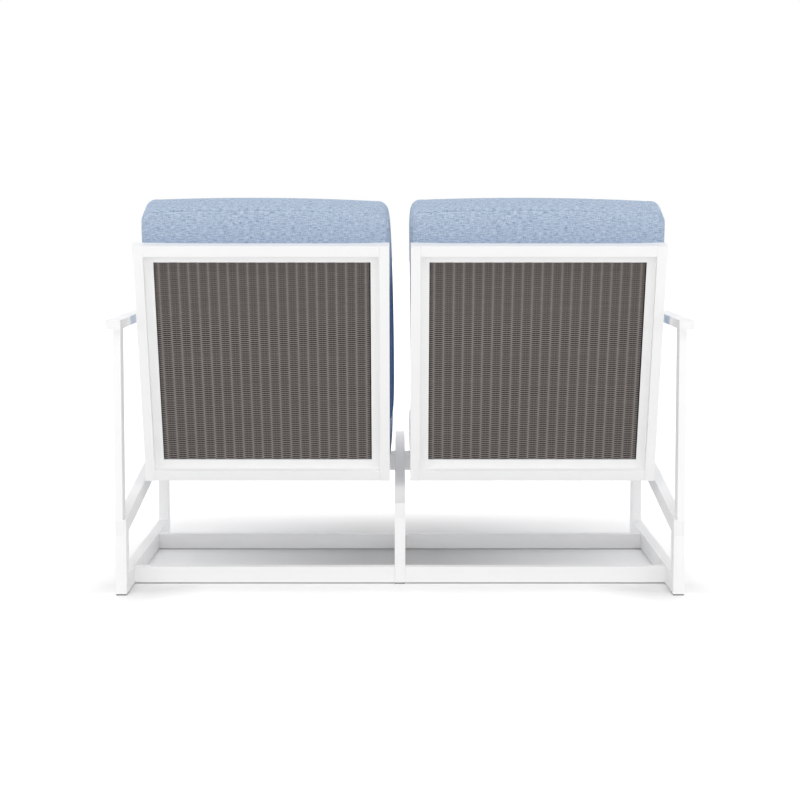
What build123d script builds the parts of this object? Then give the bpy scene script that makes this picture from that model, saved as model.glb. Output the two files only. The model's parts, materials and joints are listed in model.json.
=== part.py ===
from build123d import *
from math import cos, radians, sin, tan
import os

# Outdoor rocking bench: a powder-coated aluminium base that carries two rocking seats side by side.
# Millimetres. X is the width, the bench faces -Y, Z is up, the origin is on the floor at its centre.
# Left and right are those of a person who sits on the bench, so the left seat is on +X.

# Whole bench
LEG_TO_LEG = 915.0          # rear face of the rear legs to front face of the front legs
GLIDE_THICK = 3.0           # what the frame stands on
WALL = 2.0                  # wall of every hollow tube
TUBE_ROUND = 1.5            # outer corner of every hollow tube
FIT = 0.1                   # gap round a piece that is pushed into a bore
OVERRUN = 20.0              # how far a cut runs past the metal

# Side frames and centre frame
TUBE_WIDE = 28.0            # width of every frame tube, across the bench
LEG_DEEP = 50.0
POST_WIDE = 20.0            # arm posts are thinner than the legs below them
BASE_RAIL_TALL = 47.0
SEAT_RAIL_TALL = 42.0
SEAT_RAIL_REAR_TOP = 194.0  # height of the sloping rail's top edge at the rear face of the rear leg
SEAT_SLOPE = 7.5            # degrees that the seat rails rise towards the front

# Armrests
ARM_WIDE = 38.0
ARM_THICK = 24.0
ARM_TOP = 704.0
ARM_INNER_LIP = 2.0         # how far an armrest stands in from its posts
ARM_END_OVERHANG = 15.5

# Cross members of the base
CROSS_DEEP = 30.0
CROSS_TALL = 42.0
REAR_CROSS_BACK = 152.0     # rear face of the rear cross member, from the rear face of the legs
BEAM_CENTRE = 666.0         # the seat beam, from the rear face of the legs
BEAM_DEEP = 40.0
BEAM_TALL = 48.0

# Rocking seats
SEAT_WIDE = 656.0
SEAT_SIDE_GAP = 13.25       # clear on each side of a seat, to a side frame or to the centre frame
PIVOT_TO_BACK = 354.0       # along the slope, from the pivot to the front of the back frame
PIVOT_TO_FRONT = 245.0      # along the slope, from the pivot to the front of the seat frame
SEAT_TUBE_WIDE = 26.0
SEAT_TUBE_TALL = 40.0
FRONT_RAIL_DEEP = 26.0
PIVOT_RAIL_DEEP = 40.0
PIVOT_RAIL_TALL = 25.0
SLAT_DEEP = 40.0
SLAT_THICK = 5.0
REAR_SLATS = 4
FRONT_SLATS = 2

# Back frames
BACK_RECLINE = 18.5         # degrees from upright
BACK_TALL = 668.0
BACK_DEEP = 30.0
STILE_WIDE = 26.0
BACK_RAIL_TALL = 29.5
TRIM_WIDE = 22.5
TRIM_THICK = 4.0
PANEL_THICK = 3.0
PANEL_SET_BACK = 3.0        # from the rear face of the trim to the woven panel
PANEL_COVER = 1.0           # from the woven panel to the front of the back frame

# Pivots: a rubber bush in a housing on the beam, and an axle in the seat's ears
PIVOT_SPREAD = 400.0        # between the two pivots of one seat
PLATE_LONG = 104.0
PLATE_THICK = 4.0
HOUSING_LONG = 50.0
HOUSING_OUTER = 32.0
HOUSING_WALL = 2.5
SADDLE_DEEP = 26.0
SLEEVE_OUTER = 18.0
SLEEVE_END_GAP = 1.0        # between the end of a housing and the ear beside it
AXLE_FIT = 0.05
AXLE_THICK = 12.0
AXLE_HEAD_WIDE = 19.0
AXLE_HEAD_THICK = 7.5
NUT_THICK = 10.0
AXLE_END = 2.0              # what the axle's thread stands past its nut
EAR_THICK = 5.0
EAR_ROUND = 12.0            # radius of an ear's lower end
EAR_PLATE_THICK = 4.0
EAR_PLATE_MARGIN = 4.0
EAR_HEADROOM = 3.0          # between a housing and the ear plate above it
SCREW_EDGE = 8.0            # from the end of a plate to the middle of its screw
SCREW_THICK = 6.0
SCREW_HEAD_WIDE = 10.0
SCREW_HEAD_THICK = 3.0
SCREW_LONG = 14.0           # under the head

# Feet and end plugs
GLIDE_MARGIN = 1.0
GLIDE_SPIGOT = 8.0
PLUG_DEEP = 6.0

# Cushions
CUSHION_GAP = 0.3           # between a cushion and what it rests on
SEAT_CUSHION_MARGIN = 1.0   # on each side, within the seat's width
SEAT_CUSHION_THICK = 120.0
SEAT_CUSHION_REAR_GAP = 5.0
SEAT_CUSHION_NOSE = 4.0     # how far it stands past the seat frame's front
BACK_CUSHION_MARGIN = 3.0
BACK_CUSHION_THICK = 140.0
BACK_CUSHION_RISE = 89.0    # above the back frame, along its face
CUSHION_CORNER = 34.0
SIDE_DRAW = 5.0             # how far a cushion's sides pull in between its corners
CUSHION_ROUND = 30.0        # depth of the rounded edge at a face
EDGE_PULL = 16.0            # how far the outline draws in at a face's edge
CROWN_DEEP = 14.0           # how far the middle of a face stands proud of its edge
CROWN_PULL_SHARE = 0.3      # inset of the crown's flat top, as a share of the cushion's half width

# Derived places
REAR = LEG_TO_LEG / 2
CENTRE_HALF = TUBE_WIDE / 2
SIDE_IN = CENTRE_HALF + SEAT_WIDE + 2 * SEAT_SIDE_GAP
SIDE_OUT = SIDE_IN + TUBE_WIDE
SEAT_MIDDLE = (SIDE_IN + CENTRE_HALF) / 2
SLOPE = radians(SEAT_SLOPE)
RECLINE = radians(BACK_RECLINE)
FRAME_FOOT = GLIDE_THICK
BASE_RAIL_TOP = FRAME_FOOT + BASE_RAIL_TALL
ARM_UNDER = ARM_TOP - ARM_THICK
BEAM_Y = REAR - BEAM_CENTRE
BEAM_Z = SEAT_RAIL_REAR_TOP + BEAM_CENTRE * tan(SLOPE)
AXIS_RISE = PLATE_THICK + HOUSING_OUTER / 2
EAR_PLATE_UNDER = AXIS_RISE + HOUSING_OUTER / 2 + EAR_HEADROOM
SEAT_TOP = EAR_PLATE_UNDER + EAR_PLATE_THICK + PIVOT_RAIL_TALL
SEAT_LIFT = SEAT_TOP - SEAT_TUBE_TALL
HOUSING_BORE = HOUSING_OUTER - 2 * HOUSING_WALL
SCREW_REACH = PLATE_LONG / 2 - SCREW_EDGE
EAR_INNER = HOUSING_LONG / 2 + SLEEVE_END_GAP
EAR_OUTER = EAR_INNER + EAR_THICK
RAIL_INNER_HALF = SEAT_WIDE / 2 - SEAT_TUBE_WIDE
LEAN = RECLINE - SLOPE
PANEL_REAR = BACK_DEEP - PANEL_COVER - PANEL_THICK
TRIM_REAR = PANEL_REAR - PANEL_SET_BACK

# The sloping frame of reference: on the beam's top, X across, Y to the rear along the slope, Z square to it
SLOPED = Plane(origin=(0, BEAM_Y, BEAM_Z), x_dir=(1, 0, 0), z_dir=(0, sin(SLOPE), cos(SLOPE)))
SLOPE_LINE = Axis((0, 0, 0), (0, -cos(SLOPE), sin(SLOPE)))


def sloped(forward, rise):
    """Side-view point at a distance forward along the slope and a rise square to it."""
    return (BEAM_Y - forward * cos(SLOPE) + rise * sin(SLOPE),
            BEAM_Z + forward * sin(SLOPE) + rise * cos(SLOPE))


BACK_FOOT = sloped(-PIVOT_TO_BACK, SEAT_LIFT)


def reclined(deep, up):
    """Side-view point on the back frame: deep from its rear face, up from its lower end."""
    return (BACK_FOOT[0] - (deep - BACK_DEEP) * cos(RECLINE) + up * sin(RECLINE),
            BACK_FOOT[1] + (deep - BACK_DEEP) * sin(RECLINE) + up * cos(RECLINE))


def back_plane(x, deep):
    """Plane parallel to the back frame: X across, Y up along the back, Z towards the sitter."""
    y, z = reclined(deep, 0)
    return Plane(origin=(x, y, z), x_dir=(1, 0, 0), z_dir=(0, -cos(RECLINE), sin(RECLINE)))


def bar(x0, x1, outline):
    """Solid between two planes across the bench, from a side-view outline of (y, z) points."""
    face = make_face(Plane.YZ * Polyline(*outline, close=True))
    return Pos(x0, 0, 0) * extrude(face, amount=x1 - x0, dir=(1, 0, 0))


def block(x0, x1, y0, y1, z0, z1):
    return Pos((x0 + x1) / 2, (y0 + y1) / 2, (z0 + z1) / 2) * Box(x1 - x0, y1 - y0, z1 - z0)


def rounded(solid, direction):
    """The solid with its edges along one direction rounded, as a drawn tube's are."""
    return fillet(solid.edges().filter_by(direction), TUBE_ROUND)


def span(side, near, far):
    """The two x values of a member on one side of the bench, the smaller one first."""
    return sorted((side * near, side * far))


def rail_line(rise):
    """Height of a line parallel to the sloping rails' top, as a function of y."""
    return lambda y: BEAM_Z + (BEAM_Y - y) * tan(SLOPE) + rise / cos(SLOPE)


RAIL_TOP = rail_line(0)
RAIL_UNDER = rail_line(-SEAT_RAIL_TALL)


def sloped_tube(x0, x1, y0, y1):
    """Hollow sloping rail with plumb ends at y0 and y1."""
    inner_top = rail_line(-WALL)
    inner_under = rail_line(WALL - SEAT_RAIL_TALL)
    outer = [(y0, RAIL_UNDER(y0)), (y1, RAIL_UNDER(y1)), (y1, RAIL_TOP(y1)), (y0, RAIL_TOP(y0))]
    a = y0 - OVERRUN
    b = y1 + OVERRUN
    inner = [(a, inner_under(a)), (b, inner_under(b)), (b, inner_top(b)), (a, inner_top(a))]
    return rounded(bar(x0, x1, outer), SLOPE_LINE) - bar(x0 + WALL, x1 - WALL, inner)


def post(x0, x1, y0, y1, low, high):
    """Hollow upright whose ends follow two height functions of y."""
    outer = rounded(bar(x0, x1, [(y0, low(y0)), (y1, low(y1)), (y1, high(y1)), (y0, high(y0))]), Axis.Z)
    floor = min(low(y0), low(y1)) - OVERRUN
    roof = max(high(y0), high(y1)) + OVERRUN
    return outer - block(x0 + WALL, x1 - WALL, y0 + WALL, y1 - WALL, floor, roof)


def level_tube(x0, x1, y0, y1, z0, z1, along):
    """Hollow level tube with open ends, along X or along Y."""
    outer = block(x0, x1, y0, y1, z0, z1)
    if along == "x":
        bore = block(x0 - OVERRUN, x1 + OVERRUN, y0 + WALL, y1 - WALL, z0 + WALL, z1 - WALL)
        return rounded(outer, Axis.X) - bore
    bore = block(x0 + WALL, x1 - WALL, y0 - OVERRUN, y1 + OVERRUN, z0 + WALL, z1 - WALL)
    return rounded(outer, Axis.Y) - bore


def level(z):
    return lambda y: z


# Side frames
def rear_leg(side):
    x0, x1 = span(side, SIDE_IN, SIDE_OUT)
    return post(x0, x1, REAR - LEG_DEEP, REAR, level(FRAME_FOOT), RAIL_UNDER)


def front_leg(side):
    x0, x1 = span(side, SIDE_IN, SIDE_OUT)
    return post(x0, x1, -REAR, LEG_DEEP - REAR, level(BASE_RAIL_TOP), RAIL_UNDER)


def arm_post(side, y0):
    x0, x1 = span(side, SIDE_OUT - POST_WIDE, SIDE_OUT)
    return post(x0, x1, y0, y0 + LEG_DEEP, RAIL_TOP, level(ARM_UNDER))


def base_rail(side):
    x0, x1 = span(side, SIDE_IN, SIDE_OUT)
    return level_tube(x0, x1, -REAR, REAR - LEG_DEEP, FRAME_FOOT, BASE_RAIL_TOP, "y")


def seat_rail(side):
    x0, x1 = span(side, SIDE_IN, SIDE_OUT)
    return sloped_tube(x0, x1, -REAR, REAR)


def arm_x(side):
    inner = SIDE_OUT - POST_WIDE - ARM_INNER_LIP
    return span(side, inner, inner + ARM_WIDE)


def armrest(side):
    x0, x1 = arm_x(side)
    end = REAR + ARM_END_OVERHANG
    return level_tube(x0, x1, -end, end, ARM_UNDER, ARM_TOP, "y")


# Centre frame and cross members
CENTRE_REAR = REAR - REAR_CROSS_BACK


def centre_rear_post():
    return post(-CENTRE_HALF, CENTRE_HALF, CENTRE_REAR - LEG_DEEP, CENTRE_REAR, level(FRAME_FOOT), RAIL_UNDER)


def centre_front_post():
    return post(-CENTRE_HALF, CENTRE_HALF, -REAR, LEG_DEEP - REAR, level(BASE_RAIL_TOP), RAIL_UNDER)


def centre_base_rail():
    rear_end = CENTRE_REAR - LEG_DEEP
    return level_tube(-CENTRE_HALF, CENTRE_HALF, -REAR, rear_end, FRAME_FOOT, BASE_RAIL_TOP, "y")


def centre_seat_rail():
    return sloped_tube(-CENTRE_HALF, CENTRE_HALF, -REAR, CENTRE_REAR)


def cross_member(side, rear_face):
    x0, x1 = span(side, CENTRE_HALF, SIDE_IN)
    z1 = FRAME_FOOT + CROSS_TALL
    return level_tube(x0, x1, rear_face - CROSS_DEEP, rear_face, FRAME_FOOT, z1, "x")


def seat_beam(side):
    long = SIDE_IN - CENTRE_HALF
    outer = rounded(Box(long, BEAM_DEEP, BEAM_TALL), Axis.X)
    inner = Box(long + 2 * OVERRUN, BEAM_DEEP - 2 * WALL, BEAM_TALL - 2 * WALL)
    return SLOPED.location * Pos(side * SEAT_MIDDLE, 0, -BEAM_TALL / 2) * (outer - inner)


# Feet and the plugs that close the open tube ends
def leg_glide(x, y):
    """Flat foot with a spigot in the leg's bore."""
    pad = Box(TUBE_WIDE - 2 * GLIDE_MARGIN, LEG_DEEP - 2 * GLIDE_MARGIN, GLIDE_THICK)
    bore = WALL + FIT
    spigot = Box(TUBE_WIDE - 2 * bore, LEG_DEEP - 2 * bore, GLIDE_SPIGOT)
    return Pos(x, y, GLIDE_THICK / 2) * pad + Pos(x, y, GLIDE_THICK + GLIDE_SPIGOT / 2) * spigot


def rail_glide(x, y):
    pad = Box(TUBE_WIDE - 2 * GLIDE_MARGIN, LEG_DEEP - 2 * GLIDE_MARGIN, GLIDE_THICK)
    return Pos(x, y, GLIDE_THICK / 2) * pad


def foot_glides():
    leg_x = SIDE_OUT - TUBE_WIDE / 2
    rear_y = REAR - LEG_DEEP / 2
    centre_y = CENTRE_REAR - LEG_DEEP / 2
    feet = [leg_glide(side * leg_x, rear_y) for side in (1, -1)]
    feet.append(leg_glide(0, centre_y))
    feet += [rail_glide(x, -rear_y) for x in (leg_x, 0, -leg_x)]
    return feet


def level_plug(x0, x1, y0, y1, z0, z1):
    inset = WALL + FIT
    return block(x0 + inset, x1 - inset, y0, y1, z0 + inset, z1 - inset)


def sloped_plug(x0, x1, y0, y1):
    """Plug in the plumb end of a sloping rail."""
    inset = WALL + FIT
    top = rail_line(-inset)
    under = rail_line(inset - SEAT_RAIL_TALL)
    outline = [(y0, under(y0)), (y1, under(y1)), (y1, top(y1)), (y0, top(y0))]
    return bar(x0 + inset, x1 - inset, outline)


def end_plugs():
    plugs = []
    arm_end = REAR + ARM_END_OVERHANG
    for side in (1, -1):
        a0, a1 = arm_x(side)
        plugs.append(level_plug(a0, a1, arm_end - PLUG_DEEP, arm_end, ARM_UNDER, ARM_TOP))
        plugs.append(level_plug(a0, a1, -arm_end, PLUG_DEEP - arm_end, ARM_UNDER, ARM_TOP))
        x0, x1 = span(side, SIDE_IN, SIDE_OUT)
        plugs.append(level_plug(x0, x1, -REAR, PLUG_DEEP - REAR, FRAME_FOOT, BASE_RAIL_TOP))
        plugs.append(sloped_plug(x0, x1, REAR - PLUG_DEEP, REAR))
        plugs.append(sloped_plug(x0, x1, -REAR, PLUG_DEEP - REAR))
    c = CENTRE_HALF
    plugs.append(level_plug(-c, c, -REAR, PLUG_DEEP - REAR, FRAME_FOOT, BASE_RAIL_TOP))
    plugs.append(sloped_plug(-c, c, CENTRE_REAR - PLUG_DEEP, CENTRE_REAR))
    plugs.append(sloped_plug(-c, c, -REAR, PLUG_DEEP - REAR))
    return plugs


# Pivots
PIVOT_PLACES = [side * SEAT_MIDDLE + end * PIVOT_SPREAD / 2 for side in (1, -1) for end in (1, -1)]


def across(radius, long, x, rise):
    """Cylinder whose axis runs across the bench, in the sloping frame of reference."""
    return SLOPED.location * Pos(x, 0, rise) * Rot(0, 90, 0) * Cylinder(radius, long)


def pivot_bracket(x):
    """Plate on the beam, a saddle and the bored housing, welded into one."""
    place = SLOPED.location
    plate = place * Pos(x, 0, PLATE_THICK / 2) * Box(PLATE_LONG, BEAM_DEEP, PLATE_THICK)
    saddle = place * Pos(x, 0, AXIS_RISE / 2) * Box(HOUSING_LONG, SADDLE_DEEP, AXIS_RISE)
    body = plate + saddle + across(HOUSING_OUTER / 2, HOUSING_LONG, x, AXIS_RISE)
    body -= across(HOUSING_BORE / 2, HOUSING_LONG + 2 * OVERRUN, x, AXIS_RISE)
    for end in (1, -1):
        hole = Pos(x + end * SCREW_REACH, 0, 0) * Cylinder(SCREW_THICK / 2 + FIT, 2 * OVERRUN)
        body -= place * hole
    return body


def torsion_bush(x):
    """Rubber ring bonded in the housing, round the axle's sleeve."""
    ring = across(HOUSING_BORE / 2 - FIT, HOUSING_LONG, x, AXIS_RISE)
    return ring - across(SLEEVE_OUTER / 2 + AXLE_FIT, HOUSING_LONG + 2 * OVERRUN, x, AXIS_RISE)


def bracket_screw(x):
    """Screw through a bracket's plate into the beam's upper wall."""
    head = Pos(x, 0, PLATE_THICK + SCREW_HEAD_THICK / 2) * Cylinder(SCREW_HEAD_WIDE / 2, SCREW_HEAD_THICK)
    shank = Pos(x, 0, PLATE_THICK - SCREW_LONG / 2) * Cylinder(SCREW_THICK / 2, SCREW_LONG)
    return SLOPED.location * (head + shank)


def screw_places():
    return [x + end * SCREW_REACH for x in PIVOT_PLACES for end in (1, -1)]


def drilled_beam(side):
    """Seat beam with the holes for the bracket screws on its side of the bench."""
    beam = seat_beam(side)
    for x in screw_places():
        if x * side > 0:
            hole = Pos(x, 0, 0) * Cylinder(SCREW_THICK / 2 + FIT, 2 * OVERRUN)
            beam -= SLOPED.location * hole
    return beam


def seat_pivots(side):
    return [x for x in PIVOT_PLACES if x * side > 0]


def ear_bracket(x):
    """Plate under the pivot rail with two ears that hold the axle."""
    place = SLOPED.location
    long = 2 * (EAR_OUTER + EAR_PLATE_MARGIN)
    plate_mid = EAR_PLATE_UNDER + EAR_PLATE_THICK / 2
    body = place * Pos(x, 0, plate_mid) * Box(long, PIVOT_RAIL_DEEP, EAR_PLATE_THICK)
    for end in (1, -1):
        mid = x + end * (EAR_INNER + EAR_THICK / 2)
        web_tall = plate_mid - AXIS_RISE
        web = place * Pos(mid, 0, AXIS_RISE + web_tall / 2) * Box(EAR_THICK, 2 * EAR_ROUND, web_tall)
        body += web + across(EAR_ROUND, EAR_THICK, mid, AXIS_RISE)
    return body - across(AXLE_THICK / 2 + FIT, 2 * (EAR_OUTER + OVERRUN), x, AXIS_RISE)


def hexagon(wide, thick, x):
    """Six-sided head or nut on the axle's line, its flats wide apart."""
    form = extrude(RegularPolygon(wide / 2, 6, major_radius=False), amount=thick / 2, both=True)
    return SLOPED.location * Pos(x, 0, AXIS_RISE) * Rot(0, 90, 0) * form


def pivot_axle(x):
    """Bolt with its head, the sleeve that the bush grips, and the nut."""
    sleeve = across(SLEEVE_OUTER / 2, 2 * EAR_INNER, x, AXIS_RISE)
    sleeve -= across(AXLE_THICK / 2 + FIT, 2 * (EAR_OUTER + OVERRUN), x, AXIS_RISE)
    start = EAR_OUTER
    end = EAR_OUTER + NUT_THICK + AXLE_END
    shank = across(AXLE_THICK / 2, start + end, x + (end - start) / 2, AXIS_RISE)
    bolt = shank + hexagon(AXLE_HEAD_WIDE, AXLE_HEAD_THICK, x - EAR_OUTER - AXLE_HEAD_THICK / 2)
    nut = hexagon(AXLE_HEAD_WIDE, NUT_THICK, x + EAR_OUTER + NUT_THICK / 2)
    nut -= across(AXLE_THICK / 2 + FIT, 2 * (EAR_OUTER + OVERRUN), x, AXIS_RISE)
    return [sleeve, bolt, nut]


# Seat frames
def stile(side, end):
    """Upright of a back frame, from its foot to its top."""
    x = side * SEAT_MIDDLE + end * (SEAT_WIDE - STILE_WIDE) / 2
    place = back_plane(x, BACK_DEEP / 2).location * Pos(0, BACK_TALL / 2, 0)
    bore = Box(STILE_WIDE - 2 * WALL, BACK_TALL - 2 * WALL, BACK_DEEP - 2 * WALL)
    return place * (rounded(Box(STILE_WIDE, BACK_TALL, BACK_DEEP), Axis.Y) - bore)


def back_rail(side, low):
    """Level rail between the stiles."""
    long = SEAT_WIDE - 2 * STILE_WIDE
    place = back_plane(side * SEAT_MIDDLE, BACK_DEEP / 2).location * Pos(0, low + BACK_RAIL_TALL / 2, 0)
    bore = Box(long + 2 * OVERRUN, BACK_RAIL_TALL - 2 * WALL, BACK_DEEP - 2 * WALL)
    return place * (rounded(Box(long, BACK_RAIL_TALL, BACK_DEEP), Axis.X) - bore)


def back_trim(side):
    """Four flat mitred strips that frame the woven panel."""
    half = SEAT_WIDE / 2 - STILE_WIDE
    low = BACK_RAIL_TALL
    high = BACK_TALL - BACK_RAIL_TALL
    outer = [(-half, low), (half, low), (half, high), (-half, high)]
    w = TRIM_WIDE
    inner = [(-half + w, low + w), (half - w, low + w), (half - w, high - w), (-half + w, high - w)]
    place = back_plane(side * SEAT_MIDDLE, TRIM_REAR).location
    strips = []
    for i in range(len(outer)):
        j = (i + 1) % len(outer)
        face = make_face(Polyline(outer[i], outer[j], inner[j], inner[i], close=True))
        strips.append(place * extrude(face, amount=TRIM_THICK))
    return strips


def woven_panel(side):
    wide = SEAT_WIDE - 2 * STILE_WIDE - 2 * TRIM_WIDE
    tall = BACK_TALL - 2 * BACK_RAIL_TALL - 2 * TRIM_WIDE
    place = back_plane(side * SEAT_MIDDLE, PANEL_REAR + PANEL_THICK / 2).location * Pos(0, BACK_TALL / 2, 0)
    return place * Box(wide, tall, PANEL_THICK)


def seat_side_rail(side, end):
    """Side rail of a seat frame: its rear end meets the front of the stile."""
    inner_x = side * SEAT_MIDDLE + end * RAIL_INNER_HALF
    outer_x = side * SEAT_MIDDLE + end * SEAT_WIDE / 2
    x0, x1 = sorted((inner_x, outer_x))
    back = -PIVOT_TO_BACK
    front = PIVOT_TO_FRONT
    top_back = back - SEAT_TUBE_TALL * tan(LEAN)
    foot = [sloped(back, SEAT_LIFT), sloped(front, SEAT_LIFT)]
    outline = foot + [sloped(front, SEAT_TOP), sloped(top_back, SEAT_TOP)]
    low = SEAT_LIFT + WALL
    high = SEAT_TOP - WALL
    a = back - OVERRUN
    b = front - WALL
    bore = [sloped(a, low), sloped(b, low), sloped(b, high), sloped(a, high)]
    return rounded(bar(x0, x1, outline), SLOPE_LINE) - bar(x0 + WALL, x1 - WALL, bore)


def seat_cross_rail(side, front, deep, tall):
    """Cross rail between the side rails, its top flush with theirs."""
    long = 2 * RAIL_INNER_HALF
    place = SLOPED.location * Pos(side * SEAT_MIDDLE, deep / 2 - front, SEAT_TOP - tall / 2)
    bore = Box(long + 2 * OVERRUN, deep - 2 * WALL, tall - 2 * WALL)
    return place * (rounded(Box(long, deep, tall), Axis.X) - bore)


def slat_row(start, stop, count):
    """Middles of slats shared out evenly between two rails, forward along the slope."""
    gap = (stop - start - count * SLAT_DEEP) / (count + 1)
    return [start + gap + SLAT_DEEP / 2 + i * (gap + SLAT_DEEP) for i in range(count)]


def deck_slats(side):
    rows = slat_row(-PIVOT_TO_BACK, -PIVOT_RAIL_DEEP / 2, REAR_SLATS)
    rows += slat_row(PIVOT_RAIL_DEEP / 2, PIVOT_TO_FRONT - FRONT_RAIL_DEEP, FRONT_SLATS)
    slat = Box(2 * RAIL_INNER_HALF, SLAT_DEEP, SLAT_THICK)
    rise = SEAT_TOP - SLAT_THICK / 2
    return [SLOPED.location * Pos(side * SEAT_MIDDLE, -forward, rise) * slat for forward in rows]


# Cushions
def cushion_outline(x0, x1, y0, y1, corner, draw):
    """Closed outline with round corners, whose four sides pull in towards the middle."""
    xm = (x0 + x1) / 2
    ym = (y0 + y1) / 2
    bend = corner * (1 - cos(radians(45)))
    edges = [
        ThreePointArc((x0 + corner, y0), (xm, y0 + draw), (x1 - corner, y0)),
        ThreePointArc((x1 - corner, y0), (x1 - bend, y0 + bend), (x1, y0 + corner)),
        ThreePointArc((x1, y0 + corner), (x1 - draw, ym), (x1, y1 - corner)),
        ThreePointArc((x1, y1 - corner), (x1 - bend, y1 - bend), (x1 - corner, y1)),
        ThreePointArc((x1 - corner, y1), (xm, y1 - draw), (x0 + corner, y1)),
        ThreePointArc((x0 + corner, y1), (x0 + bend, y1 - bend), (x0, y1 - corner)),
        ThreePointArc((x0, y1 - corner), (x0 + draw, ym), (x0, y0 + corner)),
        ThreePointArc((x0, y0 + corner), (x0 + bend, y0 + bend), (x0 + corner, y0)),
    ]
    return make_face(edges)


def cushion(place, wide, thick, low, high):
    """Crowned cushion: its first face rests on the given plane, low and high are its ends along Y
    as functions of the height above that plane."""
    half = wide / 2
    crown = CROWN_PULL_SHARE * half
    steps = [
        (0, EDGE_PULL),
        (CUSHION_ROUND, 0),
        (thick - CROWN_DEEP - CUSHION_ROUND, 0),
        (thick - CROWN_DEEP, EDGE_PULL),
        (thick, crown),
    ]
    layers = []
    for rise, inset in steps:
        corner = CUSHION_CORNER + inset
        y0 = low(rise) + inset
        y1 = high(rise) - inset
        outline = cushion_outline(inset - half, half - inset, y0, y1, corner, SIDE_DRAW)
        layers.append(place.location * Pos(0, 0, rise) * outline)
    return loft(layers)


def seat_cushion(side):
    """Lies on the deck, from the back frame to just past the seat frame's front."""
    place = Plane(SLOPED.location * Pos(side * SEAT_MIDDLE, 0, SEAT_TOP + CUSHION_GAP))
    front = -(PIVOT_TO_FRONT + SEAT_CUSHION_NOSE)
    rear = PIVOT_TO_BACK - SEAT_CUSHION_REAR_GAP
    wide = SEAT_WIDE - 2 * SEAT_CUSHION_MARGIN
    return cushion(place, wide, SEAT_CUSHION_THICK, lambda rise: front, lambda rise: rear)


def seat_cushion_top(deep):
    """How far up the back frame the seat cushion's crown reaches, at a depth from the frame's rear face."""
    rise = SEAT_TOP + 2 * CUSHION_GAP + SEAT_CUSHION_THICK - SEAT_LIFT
    return rise / cos(LEAN) - (deep - BACK_DEEP) * tan(LEAN)


def back_cushion(side):
    """Leans on the back frame and stands on the seat cushion."""
    face = BACK_DEEP + CUSHION_GAP
    top = BACK_TALL + BACK_CUSHION_RISE
    place = back_plane(side * SEAT_MIDDLE, face)
    wide = SEAT_WIDE - 2 * BACK_CUSHION_MARGIN
    return cushion(place, wide, BACK_CUSHION_THICK,
                   lambda rise: seat_cushion_top(face + rise), lambda rise: top)


def base_parts():
    parts = {}
    for name, side in (("left", 1), ("right", -1)):
        parts[f"{name}_rear_leg"] = rear_leg(side)
        parts[f"{name}_front_leg"] = front_leg(side)
        parts[f"{name}_rear_arm_post"] = arm_post(side, REAR - LEG_DEEP)
        parts[f"{name}_front_arm_post"] = arm_post(side, -REAR)
        parts[f"{name}_base_rail"] = base_rail(side)
        parts[f"{name}_seat_rail"] = seat_rail(side)
        parts[f"{name}_armrest"] = armrest(side)
        parts[f"{name}_rear_cross_member"] = cross_member(side, CENTRE_REAR)
        parts[f"{name}_front_cross_member"] = cross_member(side, BEAM_Y + CROSS_DEEP / 2)
        parts[f"{name}_seat_beam"] = drilled_beam(side)
    parts["centre_rear_post"] = centre_rear_post()
    parts["centre_front_post"] = centre_front_post()
    parts["centre_base_rail"] = centre_base_rail()
    parts["centre_seat_rail"] = centre_seat_rail()
    parts["foot_glides"] = Compound(foot_glides())
    parts["tube_end_plugs"] = Compound(end_plugs())
    parts["pivot_brackets"] = Compound([pivot_bracket(x) for x in PIVOT_PLACES])
    parts["torsion_bushes"] = Compound([torsion_bush(x) for x in PIVOT_PLACES])
    parts["bracket_screws"] = Compound([bracket_screw(x) for x in screw_places()])
    return parts


def seat_parts(name, side):
    parts = {}
    for end_name, end in (("outer", side), ("inner", -side)):
        parts[f"{name}_back_{end_name}_stile"] = stile(side, end)
        parts[f"{name}_seat_{end_name}_rail"] = seat_side_rail(side, end)
    parts[f"{name}_back_top_rail"] = back_rail(side, BACK_TALL - BACK_RAIL_TALL)
    parts[f"{name}_back_bottom_rail"] = back_rail(side, 0)
    parts[f"{name}_back_trim"] = Compound(back_trim(side))
    parts[f"{name}_woven_panel"] = woven_panel(side)
    parts[f"{name}_seat_front_rail"] = seat_cross_rail(side, PIVOT_TO_FRONT, FRONT_RAIL_DEEP, SEAT_TUBE_TALL)
    parts[f"{name}_pivot_rail"] = seat_cross_rail(side, PIVOT_RAIL_DEEP / 2, PIVOT_RAIL_DEEP, PIVOT_RAIL_TALL)
    parts[f"{name}_deck_slats"] = Compound(deck_slats(side))
    parts[f"{name}_ear_brackets"] = Compound([ear_bracket(x) for x in seat_pivots(side)])
    axles = []
    for x in seat_pivots(side):
        axles += pivot_axle(x)
    parts[f"{name}_pivot_axles"] = Compound(axles)
    parts[f"{name}_seat_cushion"] = seat_cushion(side)
    parts[f"{name}_back_cushion"] = back_cushion(side)
    return parts


def main():
    os.makedirs("parts", exist_ok=True)
    parts = base_parts()
    for name, side in (("left", 1), ("right", -1)):
        parts.update(seat_parts(name, side))
    for name, shape in parts.items():
        export_step(shape, f"parts/{name}.step")


main()
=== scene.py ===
import json
from math import cos, pi, radians, sin, sqrt
from random import Random
from typing import NamedTuple

import bmesh
import bpy
import numpy as np
from bpy.props import FloatProperty, FloatVectorProperty, IntProperty, PointerProperty
from bpy.types import Operator, Panel, PropertyGroup
from mathutils import Matrix, Vector


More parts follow.
